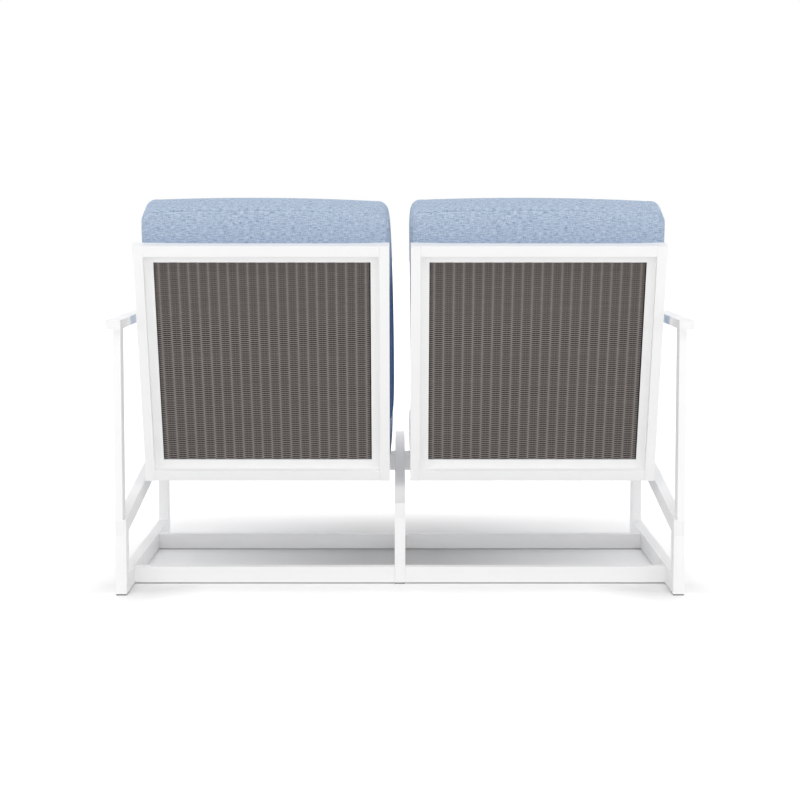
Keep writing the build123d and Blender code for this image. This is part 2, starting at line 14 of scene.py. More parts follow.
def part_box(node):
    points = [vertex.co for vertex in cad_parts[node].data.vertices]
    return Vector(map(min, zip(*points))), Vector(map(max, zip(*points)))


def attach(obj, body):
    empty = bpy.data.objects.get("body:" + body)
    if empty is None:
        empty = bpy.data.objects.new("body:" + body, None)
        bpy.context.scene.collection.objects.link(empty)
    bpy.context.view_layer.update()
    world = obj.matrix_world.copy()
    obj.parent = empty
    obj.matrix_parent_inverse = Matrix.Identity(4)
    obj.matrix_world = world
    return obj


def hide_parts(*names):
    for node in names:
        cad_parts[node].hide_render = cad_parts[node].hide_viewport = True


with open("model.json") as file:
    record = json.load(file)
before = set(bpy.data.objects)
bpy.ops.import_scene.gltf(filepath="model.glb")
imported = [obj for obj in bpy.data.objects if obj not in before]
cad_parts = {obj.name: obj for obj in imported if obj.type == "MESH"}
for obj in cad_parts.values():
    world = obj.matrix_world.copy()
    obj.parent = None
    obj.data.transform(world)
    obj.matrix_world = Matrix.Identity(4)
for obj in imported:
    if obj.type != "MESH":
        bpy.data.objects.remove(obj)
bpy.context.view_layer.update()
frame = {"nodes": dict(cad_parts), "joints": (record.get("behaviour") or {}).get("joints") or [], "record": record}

bl_info = {
    "name": "Outdoor rocking bench",
    "version": (1, 0, 0),
    "blender": (4, 5, 0),
    "location": "View3D > Sidebar > Bench",
    "description": "Dresses a two-seat outdoor rocking bench: coated tubes, woven panels and padded cushions",
    "category": "Object",
}

# Left and right are those of a person who sits on the bench, so the left seat is on +X. All sizes are in metres.
SEATS = ("left", "right")
INNER_SIDES = (-1, 1)                   # of each seat's cushions: the one that faces the other seat, along X
SEAT_SLOPE = radians(7.5)               # of the seats, down to the rear
BACK_FRAME_FRONT = 0.0028               # where a back cushion lies, in front of the middle of the panel
DECK_TOP = 0.0483                       # where a seat cushion lies, above the rocking axis

# Material slots of the record
COAT = "white_frame"
WICKER = "woven_wicker"
CLOTH = "cushion_fabric"

# What the finishes read from the meshes: three attributes and the cloth's own map
SUNK = "sunk"
SEAM = "past_seam"
# Painted shade on the cushion covers
PAINTED_COVER_SHADE = "painted_cover_shade"
CLOTH_MAP = "cloth"

# Weave
ROW_WANDER = 0.00004                    # how far a strand lies off its even place
STRAND_SPREAD = (0.93, 1.04)            # least and most depth of a strand, as a part of the even one
# Painted shade on the end of each strand, beside the trim
STRAND_SHADED_END = 0.001                      # length of each strand's dark end, at -X
# Dark sheet behind the weave, a painted shade seen through its gaps
SHADE_SHEET_DEPTH = 0.0019                  # from the middle of the panel towards the cushion
SHADE_SHEET_THICK = 0.0001

# Cloth simulation that fills the cushions
FILLING = {"quality": 5, "mass": 0.3, "tension_stiffness": 8, "compression_stiffness": 8, "shear_stiffness": 4,
           "bending_stiffness": 0.6, "use_pressure": True}
FILLING_FRAMES = 20

# Masks on the floor, each from where it starts to where it is full. Across is from the middle, and depth is along
# Y, with the rear of the bench at +Y.
WHITE_ACROSS = (0.75, 0.95)             # white beside the bench
WHITE_BEHIND = (0.3, 0.48)              # white behind it
WHITE_BEFORE = (-0.65, -1.4)            # white in front of it
LEG_ACROSS = (0.5, 0.64)                # round the feet of the rear legs
LEG_DEPTH = (0.24, 0.32)
# Painted shadow under the bench, in the colour the camera sees on the floor
PAINTED_SHADOW_ACROSS = (0.62, 0.1)              # shade under the bench
PAINTED_SHADOW_FRONT = (-0.95, -0.35)
PAINTED_SHADOW_REAR = (0.32, 0.2)
FLOOR_GLOW = 0.1                        # strength of the white under the bench
WHITE_GLOW = 0.3                        # what it gains outside
# Painted shadow round the rear feet: the floor glows less there
LEG_PAINTED_SHADOW = 0.07                         # what it loses round the rear feet
LEG_REACH = 0.1                         # how much later the floor whitens behind the rear feet
PAINTED_SHADOW_KEPT = 0.53                       # what the floor keeps of its colour in the shade under the bench

# Each sun's name, where it stands from the bench, its spread in degrees and its strength
SUNS = (("rear sun", (0, 1, 1.4), 40, 0.58), ("front sun", (0, -1, 1), 50, 0.56))


# Settings
class FinishSettings(PropertyGroup):
    coat: FloatVectorProperty(
        name="Powder coat", description="Colour of the coated tubes", subtype="COLOR", size=3,
        min=0, max=1, default=(0.95, 0.95, 0.95))
    coat_roughness: FloatProperty(
        name="Coat roughness", description="Satin finish of the powder coat", min=0, max=1, default=0.64)
    peel: FloatProperty(
        name="Orange peel", description="Height of the coat's fine waviness", unit="LENGTH", default=0.00006)
    plug: FloatVectorProperty(
        name="End plugs", description="Colour of the plugs in the open tube ends", subtype="COLOR", size=3,
        min=0, max=1, default=(0.92, 0.92, 0.92))
    glide: FloatVectorProperty(
        name="Foot glides", description="Colour of the glides under the feet", subtype="COLOR", size=3,
        min=0, max=1, default=(0.06, 0.06, 0.062))
    rubber: FloatVectorProperty(
        name="Torsion rubber", description="Colour of the rubber bushes", subtype="COLOR", size=3,
        min=0, max=1, default=(0.022, 0.022, 0.024))
    steel: FloatVectorProperty(
        name="Zinc plate", description="Colour of the bolts and screws", subtype="COLOR", size=3,
        min=0, max=1, default=(0.56, 0.57, 0.58))


class WeaveSettings(PropertyGroup):
    recline: FloatProperty(
        name="Recline", description="Lean of the back frames from upright", subtype="ANGLE",
        default=radians(18.5))
    wide: FloatProperty(
        name="Opening width", description="Inside the trim", unit="LENGTH", default=0.559)
    tall: FloatProperty(
        name="Opening height", description="Inside the trim", unit="LENGTH", default=0.564)
    rows: IntProperty(
        name="Rows", description="Strands across one panel", min=2, default=203)
    columns: IntProperty(
        name="Columns", description="Spaces between the upright stakes of one panel", min=2, default=22)
    strand_thick: FloatProperty(
        name="Strand thickness", description="Through the panel", unit="LENGTH", default=0.0011)
    strand_tall: FloatProperty(
        name="Strand height", description="In the plane of the panel", unit="LENGTH", default=0.00325)
    bow: FloatProperty(
        name="Bow", description="How far a strand swings to each side of the stakes", unit="LENGTH",
        default=0.001)
    pinch: FloatProperty(
        name="Pinch", description="Part of its height that a strand loses where it bends round a stake",
        min=0, max=1, default=0.4)
    stake_wide: FloatProperty(
        name="Stake width", description="Of one upright stake", unit="LENGTH", default=0.0024)
    stake_thick: FloatProperty(
        name="Stake thickness", description="Through the panel", unit="LENGTH", default=0.0008)
    # Painted shade on the stakes: the depth mark that the recess shade reads for them, which darkens their colour;
    # the stakes themselves lie in the middle of the weave
    stake_shade: FloatProperty(
        name="Stake shade",
        description="Where the stakes lie, from 0 for the front of the weave to 1 for its back",
        min=0, max=1, default=0.64)
    colour: FloatVectorProperty(
        name="Strand colour", description="Grey-brown of the strands", subtype="COLOR", size=3,
        min=0, max=1, default=(0.252, 0.221, 0.205))
    # Painted shade in the recesses of the weave
    shade: FloatProperty(
        name="Recess shade", description="How much of its colour a strand keeps at the bottom of the weave",
        min=0, max=1, default=0.05)
    # Colour of the dark sheet behind the weave, a painted shade
    shade_sheet: FloatVectorProperty(
        name="Shade sheet colour", description="Colour of the thin sheet between the weave and the cushion",
        subtype="COLOR", size=3, min=0, max=1, default=(0.02, 0.019, 0.018))


class CushionSettings(PropertyGroup):
    voxel: FloatProperty(
        name="Voxel", description="Grain of the mesh that is inflated", unit="LENGTH", default=0.0075)
    pressure: FloatProperty(
        name="Pressure", description="Of the filling on the cover", default=5.0)
    seam_deep: FloatProperty(
        name="Seam depth", description="How far the seams draw the cover in", unit="LENGTH", default=0.0018)
    seam_wide: FloatProperty(
        name="Seam width", description="How far from a seam the cover is drawn in", unit="LENGTH", default=0.004)
    yarn: FloatProperty(
        name="Yarn", description="Width of one thread of the cover", unit="LENGTH", default=0.0011)
    light_yarn: FloatVectorProperty(
        name="Light yarn", description="Palest threads of the cover", subtype="COLOR", size=3,
        min=0, max=1, default=(0.645, 0.737, 0.85))
    blue_yarn: FloatVectorProperty(
        name="Blue yarn", description="Main colour of the cover", subtype="COLOR", size=3,
        min=0, max=1, default=(0.353, 0.471, 0.656))
    deep_yarn: FloatVectorProperty(
        name="Deep yarn", description="Darkest threads of the cover", subtype="COLOR", size=3,
        min=0, max=1, default=(0.151, 0.246, 0.43))
    # Painted shade: the colour that the cover is multiplied by deep in the gap between the seats and low on the
    # back cushions
    painted_cover_shade: FloatVectorProperty(
        name="Painted cover shade",
        description="What the cover keeps of its colour where it is tucked away from the light",
        subtype="COLOR", size=3, min=0, max=1, default=(0.2, 0.29, 0.48))


class StageSettings(PropertyGroup):
    camera_back: FloatProperty(
        name="Camera distance", description="Behind the middle of the bench", unit="LENGTH", default=5.2085)
    camera_height: FloatProperty(
        name="Camera height", description="Above the floor", unit="LENGTH", default=0.9828)
    camera_pitch: FloatProperty(
        name="Camera pitch", description="Downwards from level", subtype="ANGLE", default=radians(4.82))
    lens: FloatProperty(
        name="Lens", description="Focal length in millimetres on a 36 mm sensor", default=85.0)
    shift: FloatProperty(
        name="Lens shift", description="Vertical shift that frames the bench", default=-0.04)
    floor: FloatVectorProperty(
        name="Floor", description="Colour of the floor", subtype="COLOR", size=3, min=0, max=1,
        default=(0.92, 0.92, 0.92))
    zenith: FloatProperty(
        name="Sky", description="Strength of the light from above", min=0, default=0.67)
    horizon: FloatProperty(
        name="Horizon", description="Strength of the light from low down, all round", min=0, default=1.8)


# Places
def axes(origin, along, square):
    place = Matrix((Vector((1, 0, 0)), Vector(along), Vector(square))).transposed().to_4x4()
    place.translation = origin
    return place


def back_place(seat):
    """Local axes of a seat's back: X across, Y up along it, Z towards the sitter, from its panel's middle."""
    lean = bpy.context.scene.bench_weave.recline
    low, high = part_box(f"{seat}_woven_panel")
    return axes((low + high) / 2, (0, sin(lean), cos(lean)), (0, -cos(lean), sin(lean)))


def seat_place(seat):
    """Local axes of a seat: X across, Y to the rear along the slope, Z square to it, from its rocking axis."""
    pivot = next(j["pos_m"] for j in frame["joints"] if j["child"] == f"{seat}_seat")
    return axes(Vector(pivot), (0, cos(SEAT_SLOPE), -sin(SEAT_SLOPE)), (0, sin(SEAT_SLOPE), cos(SEAT_SLOPE)))


# Pieces
def new_object(name, bm):
    mesh = bpy.data.meshes.new(name)
    bm.to_mesh(mesh)
    bm.free()
    obj = bpy.data.objects.new(name, mesh)
    bpy.context.scene.collection.objects.link(obj)
    return obj


def declare(obj, seat, solid):
    """Says what a piece of a seat is: it rides on the seat and stands for one of the seat's solids."""
    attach(obj, f"{seat}_seat")
    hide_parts(f"{seat}_{solid}")


# Node helpers
def plug(tree, socket, value):
    """Links an output into a socket, or sets the socket's own value."""
    if isinstance(value, bpy.types.NodeSocket):
        tree.links.new(value, socket)
    else:
        socket.default_value = value


def feed(tree, made, **values):
    """Plugs values into a node's sockets by name, with _ for a space."""
    for key, value in values.items():
        plug(tree, made.inputs[key.replace("_", " ")], value)


def node(tree, kind, **values):
    """New node. The names of its own properties are in lower case, and those of its sockets are capitalised."""
    made = tree.nodes.new(kind)
    for key, value in values.items():
        if key in made.bl_rna.properties:
            setattr(made, key, value)
        else:
            feed(tree, made, **{key: value})
    return made


def calc(tree, operation, *values):
    made = node(tree, "ShaderNodeMath", operation=operation)
    for socket, value in zip(made.inputs, values):
        plug(tree, socket, value)
    return made.outputs[0]


def highest(tree, first, second, third):
    return calc(tree, "MAXIMUM", calc(tree, "MAXIMUM", first, second), third)


def mask(tree, value, low, high):
    """0 at low, 1 at high."""
    made = node(tree, "ShaderNodeMapRange", From_Min=low, From_Max=high, Value=value)
    return made.outputs["Result"]


def ramp(tree, fac, stops):
    """Colour ramp from pairs of a position and a colour, or a grey as one number."""
    made = node(tree, "ShaderNodeValToRGB", Fac=fac)
    while len(made.color_ramp.elements) < len(stops):
        made.color_ramp.elements.new(0.5)
    for element, (position, colour) in zip(made.color_ramp.elements, stops):
        element.position = position
        element.color = (colour, colour, colour, 1) if isinstance(colour, (int, float)) else (*colour, 1)
    return made.outputs["Color"]


def mixed(tree, fac, a, b, blend="MIX"):
    made = node(tree, "ShaderNodeMix", data_type="RGBA", blend_type=blend)
    for socket, value in zip((made.inputs["Factor"], made.inputs[6], made.inputs[7]), (fac, a, b)):
        plug(tree, socket, value)
    return made.outputs[2]


def multiplied(tree, a, b, fac=1.0):
    return mixed(tree, fac, a, b, "MULTIPLY")


def stretched_noise(tree, vector, scale, detail, seed=0.0):
    """Noise whose grain is drawn out: scale is cycles per metre along each axis."""
    mapping = node(tree, "ShaderNodeMapping", Vector=vector, Scale=scale, Location=(seed, seed, seed))
    noise = node(tree, "ShaderNodeTexNoise", Vector=mapping.outputs["Vector"], Scale=1.0, Detail=detail)
    return noise.outputs["Fac"]


def seen_directly(tree):
    """1 for what the camera sees, also in metal and through glass, and 0 for light on its way to a surface."""
    paths = node(tree, "ShaderNodeLightPath")
    return highest(tree, *(paths.outputs[f"Is {kind} Ray"] for kind in ("Camera", "Glossy", "Transmission")))


def new_group(name, inputs, outputs):
    """Empty shader group with named sockets, and its own input and output nodes."""
    tree = bpy.data.node_groups.new(name, "ShaderNodeTree")
    for direction, sockets in (("INPUT", inputs), ("OUTPUT", outputs)):
        for socket, kind in sockets.items():
            tree.interface.new_socket(socket, in_out=direction, socket_type=f"NodeSocket{kind}")
    return tree, node(tree, "NodeGroupInput"), node(tree, "NodeGroupOutput")


def new_material(name):
    material = bpy.data.materials.new(name)
    material.use_nodes = True
    tree = material.node_tree
    return material, tree, tree.nodes["Principled BSDF"]


# Finishes
def fine_grain():
    """Shared effect: two scales of surface grain, for coated, moulded and plated finishes."""
    name = "Fine grain"
    if name in bpy.data.node_groups:
        return bpy.data.node_groups[name]
    tree, start, end = new_group(
        name,
        {"Vector": "Vector", "Grain size": "Float", "Patch size": "Float", "Colour": "Color",
         "Variation": "Float"},
        {"Colour": "Color", "Height": "Float", "Patches": "Float"})
    vector = start.outputs["Vector"]
    scales = [calc(tree, "DIVIDE", 1.0, start.outputs[size]) for size in ("Grain size", "Patch size")]
    grain = node(tree, "ShaderNodeTexNoise", Vector=vector, Scale=scales[0], Detail=3.0, Roughness=0.6)
    patches = node(tree, "ShaderNodeTexNoise", Vector=vector, Scale=scales[1], Detail=2.0)
    shade = ramp(tree, patches.outputs["Fac"], [(0.3, 0.9), (0.7, 1)])
    colour = multiplied(tree, start.outputs["Colour"], shade, start.outputs["Variation"])
    feed(tree, end, Colour=colour, Height=grain.outputs["Fac"], Patches=patches.outputs["Fac"])
    return tree


def grained(name, colour, roughness, grain, patch, height, variation=1.0, metallic=0.0, specular=0.5,
            spread=0.06):
    """Solid finish with fine grain in its colour, gloss and surface. Roughness varies by spread up and down, and
    the sizes of the grain, of its patches and of its height are in metres."""
    if name in bpy.data.materials:
        return bpy.data.materials[name]
    material, tree, shader = new_material(name)
    coords = node(tree, "ShaderNodeTexCoord")
    group = node(tree, "ShaderNodeGroup", node_tree=fine_grain(), Vector=coords.outputs["Object"],
                 Grain_size=grain, Patch_size=patch, Colour=(*colour, 1), Variation=variation)
    gloss = node(tree, "ShaderNodeMapRange", Value=group.outputs["Patches"], To_Min=roughness - spread,
                 To_Max=roughness + spread)
    bump = node(tree, "ShaderNodeBump", Strength=1.0, Distance=height, Height=group.outputs["Height"])
    feed(tree, shader, Base_Color=group.outputs["Colour"], Roughness=gloss.outputs["Result"],
         Normal=bump.outputs["Normal"], Metallic=metallic, Specular_IOR_Level=specular)
    return material


def frame_finish(slot):
    finish = bpy.context.scene.bench_finish
    if slot == COAT:
        return grained("Powder coat", finish.coat, roughness=finish.coat_roughness, grain=0.0011, patch=0.07,
                       height=finish.peel, variation=0.08, specular=0.12)
    if slot == "white_plastic":
        return grained("Plug plastic", finish.plug, roughness=0.55, grain=0.0006, patch=0.03, height=0.00005,
                       variation=0.1)
    if slot == "dark_plastic":
        return grained("Glide plastic", finish.glide, roughness=0.6, grain=0.0008, patch=0.02, height=0.0001)
    if slot == "black_rubber":
        return grained("Bush rubber", finish.rubber, roughness=0.75, grain=0.0007, patch=0.02, height=0.00012)
    return grained("Zinc plate", finish.steel, roughness=0.32, grain=0.0004, patch=0.012, height=0.00003,
                   metallic=1.0)


def wicker_finish():
    """Extruded strands: streaks along their length, each a little different in shade, with painted shade in the
    recesses.
    """
    name = "Wicker strands"
    if name in bpy.data.materials:
        return bpy.data.materials[name]
    weave = bpy.context.scene.bench_weave
    material, tree, shader = new_material(name)
    coords = node(tree, "ShaderNodeTexCoord")
    upright = node(tree, "ShaderNodeMapping", Vector=coords.outputs["Object"], Rotation=(weave.recline, 0, 0))
    flat = upright.outputs["Vector"]
    streak = stretched_noise(tree, flat, (25, 25, 900), 3.0)
    strand = stretched_noise(tree, flat, (4, 4, 380), 0.0, 7.0)
    base = Vector(weave.colour)
    shades = ramp(tree, strand, [(0.25, base * 0.93), (0.5, base), (0.75, base * 1.06)])
    streaked = multiplied(tree, shades, ramp(tree, streak, [(0.35, 0.9), (0.65, 1)]))
    # Painted shade: the deeper a strand or stake is marked in the weave, the darker its colour
    sunk = node(tree, "ShaderNodeAttribute", attribute_name=SUNK)
    painted_recess_shade = ramp(tree, sunk.outputs["Fac"], [(0.52, 1), (0.69, weave.shade)])
    bump = node(tree, "ShaderNodeBump", Strength=0.6, Distance=0.0002, Height=streak)
    colour = multiplied(tree, streaked, painted_recess_shade)
    feed(tree, shader, Base_Color=colour, Normal=bump.outputs["Normal"], Roughness=0.5)
    return material


def heathered_cloth():
    """Shared effect: plain weave of pale warp and blue weft, with slubs along both."""
    name = "Heathered cloth"
    if name in bpy.data.node_groups:
        return bpy.data.node_groups[name]
    tree, start, end = new_group(
        name,
        {"Vector": "Vector", "Yarn": "Float", "Light": "Color", "Blue": "Color", "Deep": "Color"},
        {"Colour": "Color", "Height": "Float"})
    flat = start.outputs["Vector"]
    axis = node(tree, "ShaderNodeSeparateXYZ", Vector=flat)
    turns = calc(tree, "DIVIDE", pi, start.outputs["Yarn"])
    across, along = [calc(tree, "SINE", calc(tree, "MULTIPLY", axis.outputs[i], turns)) for i in (0, 1)]
    over = calc(tree, "GREATER_THAN", calc(tree, "MULTIPLY", across, along), 0.0)
    warp = stretched_noise(tree, flat, (520, 75, 60), 2.0, 3.0)
    weft = stretched_noise(tree, flat, (75, 520, 60), 2.0, 11.0)
    slub = stretched_noise(tree, flat, (30, 420, 60), 1.0, 29.0)
    light, blue, deep = (start.outputs[yarn] for yarn in ("Light", "Blue", "Deep"))
    warp_colour = mixed(tree, mask(tree, warp, 0.38, 0.62), blue, light)
    weft_colour = mixed(tree, mask(tree, weft, 0.36, 0.60), deep, light)
    cloth = mixed(tree, over, warp_colour, weft_colour)
    slubs = calc(tree, "MULTIPLY", mask(tree, slub, 0.64, 0.72), 0.55)
    round_yarn = mixed(tree, over, calc(tree, "ABSOLUTE", across), calc(tree, "ABSOLUTE", along))
    height = calc(tree, "ADD", round_yarn, calc(tree, "MULTIPLY", weft, 0.8))
    feed(tree, end, Colour=mixed(tree, slubs, cloth, deep), Height=height)
    return tree


def cushion_finish():
    """Woven cover, darker in its seams, with painted shade where it is tucked away from the light."""
    name = "Cushion cloth"
    if name in bpy.data.materials:
        return bpy.data.materials[name]
    cushions = bpy.context.scene.bench_cushions
    material, tree, shader = new_material(name)
    flat = node(tree, "ShaderNodeUVMap", uv_map=CLOTH_MAP)
    cloth = node(tree, "ShaderNodeGroup", node_tree=heathered_cloth(), Vector=flat.outputs["UV"],
                 Yarn=cushions.yarn, Light=(*cushions.light_yarn, 1), Blue=(*cushions.blue_yarn, 1),
                 Deep=(*cushions.deep_yarn, 1))
    # Painted shade on the cover, read from its mark
    painted_cover_shade = node(tree, "ShaderNodeAttribute", attribute_name=PAINTED_COVER_SHADE)
    painted_dim = ramp(tree, painted_cover_shade.outputs["Fac"], [(0, 1), (1, cushions.painted_cover_shade)])
    seam = node(tree, "ShaderNodeAttribute", attribute_name=SEAM)
    off_seam = mask(tree, calc(tree, "ABSOLUTE", seam.outputs["Fac"]), 0.0004, 0.0018)
    shade = ramp(tree, off_seam, [(0, 0.82), (1, 1)])
    colour = multiplied(tree, multiplied(tree, cloth.outputs["Colour"], painted_dim), shade)
    bump = node(tree, "ShaderNodeBump", Strength=0.7, Distance=0.0004, Height=cloth.outputs["Height"])
    feed(tree, shader, Base_Color=colour, Normal=bump.outputs["Normal"], Roughness=0.9, Specular_IOR_Level=0.25)
    return material


class BENCH_OT_frame_finish(Operator):
    """Coats the tubes and finishes the plugs, glides, bushes and bolts"""
    bl_idname = "bench.frame_finish"
    bl_label = "Frame finishes"

    def execute(self, context):
        for part in frame["record"]["subparts"]:
            slot = part["material_slot"]
            if slot in (WICKER, CLOTH):
                continue
            mesh = frame["nodes"][part["node"]].data
            mesh.materials.clear()
            mesh.materials.append(frame_finish(slot))
        return {"FINISHED"}


# Woven panels
def swing(x):
    """Where a strand is at x: 1 in front of a stake, -1 behind one, 0 as it crosses between two."""
    weave = bpy.context.scene.bench_weave
    return cos(pi * weave.columns * (x / weave.wide + 0.5))


def weave_rows(rows, side, seed):
    """The strands of every second row, in the panel's local axes. Side is 1 or -1, and its rows start there."""
    weave = bpy.context.scene.bench_weave
    steps = weave.columns * 4
    across = [weave.wide * (i / steps - 0.5) for i in range(steps + 1)]
    bm = bmesh.new()
    sunk = bm.verts.layers.float.new(SUNK)
    tube(bm, [(x, 0, side * weave.bow * swing(x)) for x in across], weave.strand_thick, weave.strand_tall)
    for vert in bm.verts:
        turn = swing(vert.co.x)
        # A strand's end at -X gets the deepest mark, which paints it dark as shade beside the trim
        in_trim_shade = vert.co.x < STRAND_SHADED_END - weave.wide / 2
        vert[sunk] = 1 if in_trim_shade else 0.5 + 0.5 * side * turn
        vert.co.y *= 1 - weave.pinch * turn ** 2
    first = list(bm.verts) + list(bm.edges) + list(bm.faces)
    row_pitch = weave.tall / (weave.rows + 1)
    draw = Random(seed)
    for row in (*rows[1:], rows[0]):
        strand = first if row == rows[0] else bmesh.ops.duplicate(bm, geom=first)["geom"]
        height = (row + 1) * row_pitch - weave.tall / 2 + draw.uniform(-ROW_WANDER, ROW_WANDER)
        shape = Matrix.Translation((0, height, 0)) @ Matrix.Diagonal((1, 1, draw.uniform(*STRAND_SPREAD), 1))
        bmesh.ops.transform(bm, matrix=shape, verts=verts_in(strand))
    return bm


def verts_in(geom):
    return [item for item in geom if isinstance(item, bmesh.types.BMVert)]


def tube(bm, points, thick, tall):
    """Closed six-sided flattened tube through points, its section square to X, made ring by ring."""
    turn = Matrix.Rotation(pi / 2, 4, "Y")
    squeeze = Matrix.Diagonal((1, tall, thick, 1))
    ring = bmesh.ops.create_circle(bm, cap_ends=False, segments=6, radius=0.5)["verts"]
    bmesh.ops.transform(bm, matrix=Matrix.Translation(points[0]) @ squeeze @ turn, verts=ring)
    edges = list(bm.edges)
    bmesh.ops.contextual_create(bm, geom=edges)
    for before, after in zip(points, points[1:]):
        made = bmesh.ops.extrude_edge_only(bm, edges=edges)["geom"]
        verts = verts_in(made)
        edges = [e for e in made if isinstance(e, bmesh.types.BMEdge) and all(v in verts for v in e.verts)]
        bmesh.ops.translate(bm, vec=Vector(after) - Vector(before), verts=verts)
    bmesh.ops.contextual_create(bm, geom=edges)
    bmesh.ops.recalc_face_normals(bm, faces=bm.faces)


def weave_stakes():
    """Upright stakes between the rows, in the panel's local axes."""
    weave = bpy.context.scene.bench_weave
    bm = bmesh.new()
    sunk = bm.verts.layers.float.new(SUNK)
    for i in range(1, weave.columns):
        x = weave.wide * (i / weave.columns - 0.5)
        made = bmesh.ops.create_cube(bm, size=1)["verts"]
        size = Matrix.Diagonal((weave.stake_wide, weave.tall, weave.stake_thick, 1))
        bmesh.ops.transform(bm, matrix=Matrix.Translation((x, 0, 0)) @ size, verts=made)
        upright = {edge for vert in made for edge in vert.link_edges
                   if abs(edge.verts[0].co.y - edge.verts[1].co.y) > weave.tall / 2}
        bmesh.ops.bevel(bm, geom=list(upright), offset=weave.stake_thick / 3, offset_type="OFFSET",
                        affect="EDGES", segments=2, profile=0.5, material=-1)
    for vert in bm.verts:
        # Painted shade: every stake gets the same depth mark, which darkens its colour
        vert[sunk] = weave.stake_shade
    return bm


def make_shade_sheet():
    """Thin dark sheet between the weave and the cushion, put there as painted shade seen through the weave, in the
    panel's local axes. Its second finish faces the cushion."""
    weave = bpy.context.scene.bench_weave
    bm = bmesh.new()
    bmesh.ops.create_grid(bm, x_segments=weave.columns, y_segments=weave.columns, size=0.5)
    bmesh.ops.solidify(bm, geom=bm.faces, thickness=SHADE_SHEET_THICK)
    shape = Matrix.Translation((0, 0, SHADE_SHEET_DEPTH)) @ Matrix.Diagonal((weave.wide, weave.tall, 1, 1))
    bmesh.ops.transform(bm, matrix=shape, verts=bm.verts)
    bmesh.ops.recalc_face_normals(bm, faces=bm.faces)
    for face in bm.faces:
        face.material_index = int(face.normal.z > 0.5)
    return bm


def panel_piece(name, seat, bm, finish):
    """Puts a part of a seat's woven panel in its place."""
    bm.transform(back_place(seat))
    obj = new_object(f"{seat}_{name}", bm)
    obj.data.materials.append(finish)
    declare(obj, seat, "woven_panel")
    return obj


class BENCH_OT_woven_panels(Operator):
    """Weaves the strands and stakes of both back panels"""
    bl_idname = "bench.woven_panels"
    bl_label = "Woven panels"

    def execute(self, context):
        weave = context.scene.bench_weave
        finish = wicker_finish()
        # Painted shade: a near-black sheet behind the weave
        sheet = grained("Backing sheet", weave.shade_sheet, roughness=0.8, grain=0.0008, patch=0.02, height=0.00004)
        for seat, seed in zip(SEATS, (31, 38)):
            for name, start, side in (("odd_strands", 0, 1), ("even_strands", 1, -1)):
                bm = weave_rows(range(start, weave.rows, 2), side, seed + start)
                panel_piece(name, seat, bm, finish).data.shade_smooth()
            panel_piece("stakes", seat, weave_stakes(), finish)
            shade_sheet = panel_piece("shade_sheet", seat, make_shade_sheet(), sheet)
            shade_sheet.data.materials.append(finish)
        return {"FINISHED"}


# Cushions
class Form(NamedTuple):
    """Sizes of one cushion in its own axes. It lies on the frame with its first face, which is at z 0."""
    half_wide: float    # from its middle to each side
    near: float         # its near end along Y, at the first face
    far: float          # its far end along Y
    near_rise: float    # how far the near end moves along Y from the first face to the last
    thick: float
    corner: float       # radius of its outline's corners
    edges: tuple        # radii round its first and its last face
    swell: float        # the most that the filling pushes the cover out
    flat_to: float      # where along Y its first face stops lying on the frame

    @property
    def inset(self):
        """How far the two seams are in from the outline, halfway round the edges."""
        return [edge * (1 - cos(pi / 4)) for edge in self.edges]

    @property
    def seams(self):
        """Heights of the two seams."""
        first, last = self.inset
        return first, self.thick - last

    def outline_gap(self, co):
        """Distance of points from the cushion's outline, negative inside, seen square to its faces."""
        near = self.near + self.near_rise * co[:, 2] / self.thick
        middle = (near + self.far) / 2
        half_tall = (self.far - near) / 2
        qx = np.abs(co[:, 0]) - self.half_wide + self.corner
        qy = np.abs(co[:, 1] - middle) - half_tall + self.corner
        outside = np.hypot(np.maximum(qx, 0), np.maximum(qy, 0))
        return outside + np.minimum(np.maximum(qx, qy), 0) - self.corner

    def past_seam(self, co):
        """How far points are past the nearer seam, along the cover: negative on a face, positive on the band."""
        out = self.outline_gap(co)
        first = (out + self.inset[0] + co[:, 2] - self.seams[0]) / sqrt(2)
        last = (out + self.inset[1] - co[:, 2] + self.seams[1]) / sqrt(2)
        return np.clip(np.where(co[:, 2] < self.thick / 2, first, last), -0.02, 0.02)


def cushion_blank(form):
    """Box cushion before it is filled. Its first face is at z 0, and near and far are its ends along Y."""
    bm = bmesh.new()
    bmesh.ops.create_cube(bm, size=1)
    middle = (form.near + form.far) / 2
    size = Matrix.Diagonal((2 * form.half_wide, form.far - form.near, form.thick, 1))
    bmesh.ops.transform(bm, matrix=Matrix.Translation((0, middle, form.thick / 2)) @ size, verts=bm.verts)
    lower = [v for v in bm.verts if v.co.y < middle and v.co.z > form.thick / 2]
    bmesh.ops.translate(bm, vec=(0, form.near_rise, 0), verts=lower)
    upright = [e for e in bm.edges if abs(e.verts[0].co.z - e.verts[1].co.z) > form.thick / 2]
    bmesh.ops.bevel(bm, geom=upright, offset=form.corner, offset_type="OFFSET", affect="EDGES", segments=6,
                    profile=0.5, material=-1)
    for level, edge in zip((0, form.thick), form.edges):
        rim = [e for e in bm.edges if all(abs(v.co.z - level) < 0.0001 for v in e.verts)]
        bmesh.ops.bevel(bm, geom=rim, offset=edge, offset_type="OFFSET", affect="EDGES", segments=4,
                        profile=0.5, material=-1)
    return bm


def coordinates(mesh):
    co = np.empty(len(mesh.vertices) * 3, np.float64)
    mesh.vertices.foreach_get("co", co)
    return co.reshape(-1, 3)


def set_coordinates(mesh, co):
    mesh.vertices.foreach_set("co", np.ascontiguousarray(co, np.float32).ravel())
    mesh.update()


def rise(values, start, end):
    """0 up to start, 1 from end on, and straight between them."""
    return np.clip((values - start) / (end - start), 0, 1)


